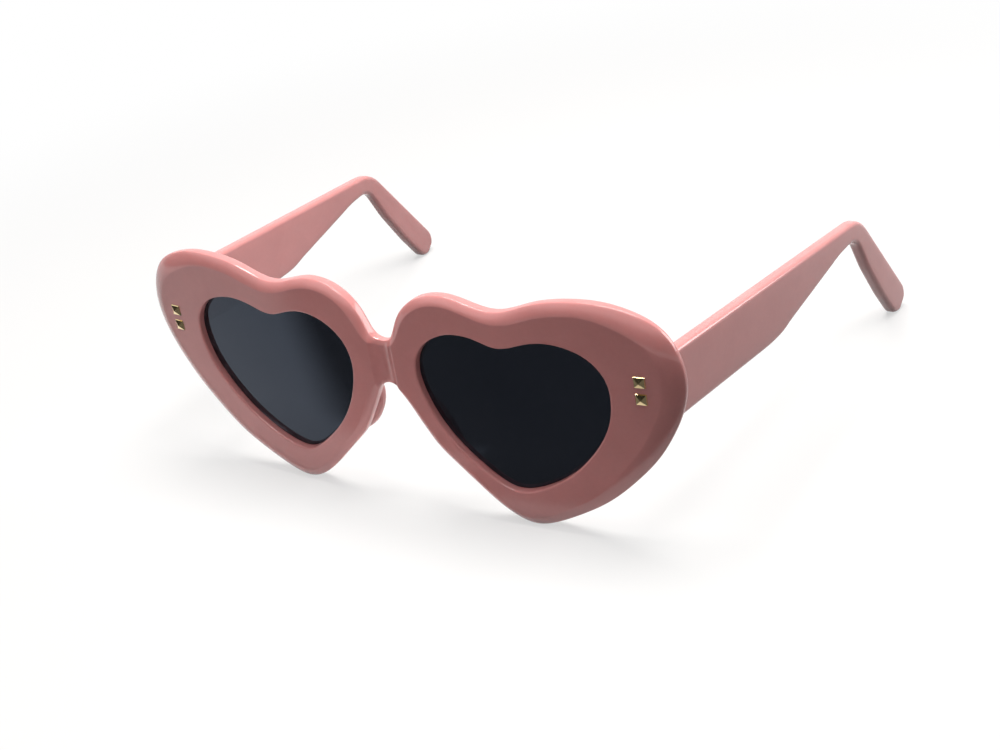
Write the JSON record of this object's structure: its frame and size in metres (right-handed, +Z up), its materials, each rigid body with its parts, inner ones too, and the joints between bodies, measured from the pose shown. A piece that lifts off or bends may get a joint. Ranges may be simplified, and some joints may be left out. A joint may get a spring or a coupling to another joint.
{
  "type": "heart shaped sunglasses",
  "caption": "Sunglasses with a thick heart-shaped front, domed smoke lenses, square pyramid rivets and temples that fold on barrel hinges.",
  "frame": {"origin": "middle of the open pair's footprint, at the level of the surface it stands on", "axes": "+X to the wearer's left, +Y towards the temple tips (the front faces -Y), +Z up"},
  "size_m": [0.1602, 0.128, 0.0603],
  "materials": {
    "acetate": "polished dusty pink acetate",
    "lens": "smoke tint, polished",
    "gold": "polished gold tone",
    "steel": "satin"
  },
  "bodies": {
    "front": {"front_frame": "acetate", "left_lens": "lens", "right_lens": "lens", "left_nose_pad": "acetate", "right_nose_pad": "acetate", "left_front_hinge": "steel", "right_front_hinge": "steel", "left_hinge_screw": "steel", "right_hinge_screw": "steel", "left_upper_stud": "gold", "left_lower_stud": "gold", "right_upper_stud": "gold", "right_lower_stud": "gold"},
    "left_temple": {"left_temple": "acetate", "left_temple_hinge": "steel", "left_core_wire": "steel"},
    "right_temple": {"right_temple": "acetate", "right_temple_hinge": "steel", "right_core_wire": "steel"}
  },
  "joints": [
    {"name": "left_temple_fold", "type": "hinge", "parent": "front", "child": "left_temple", "pos_m": [0.06723, -0.05397, 0.0412], "axis": [0, 0, 1], "range_deg": [0, 94]},
    {"name": "right_temple_fold", "type": "hinge", "parent": "front", "child": "right_temple", "pos_m": [-0.06723, -0.05397, 0.0412], "axis": [0, 0, -1], "range_deg": [0, 86]}
  ]
}
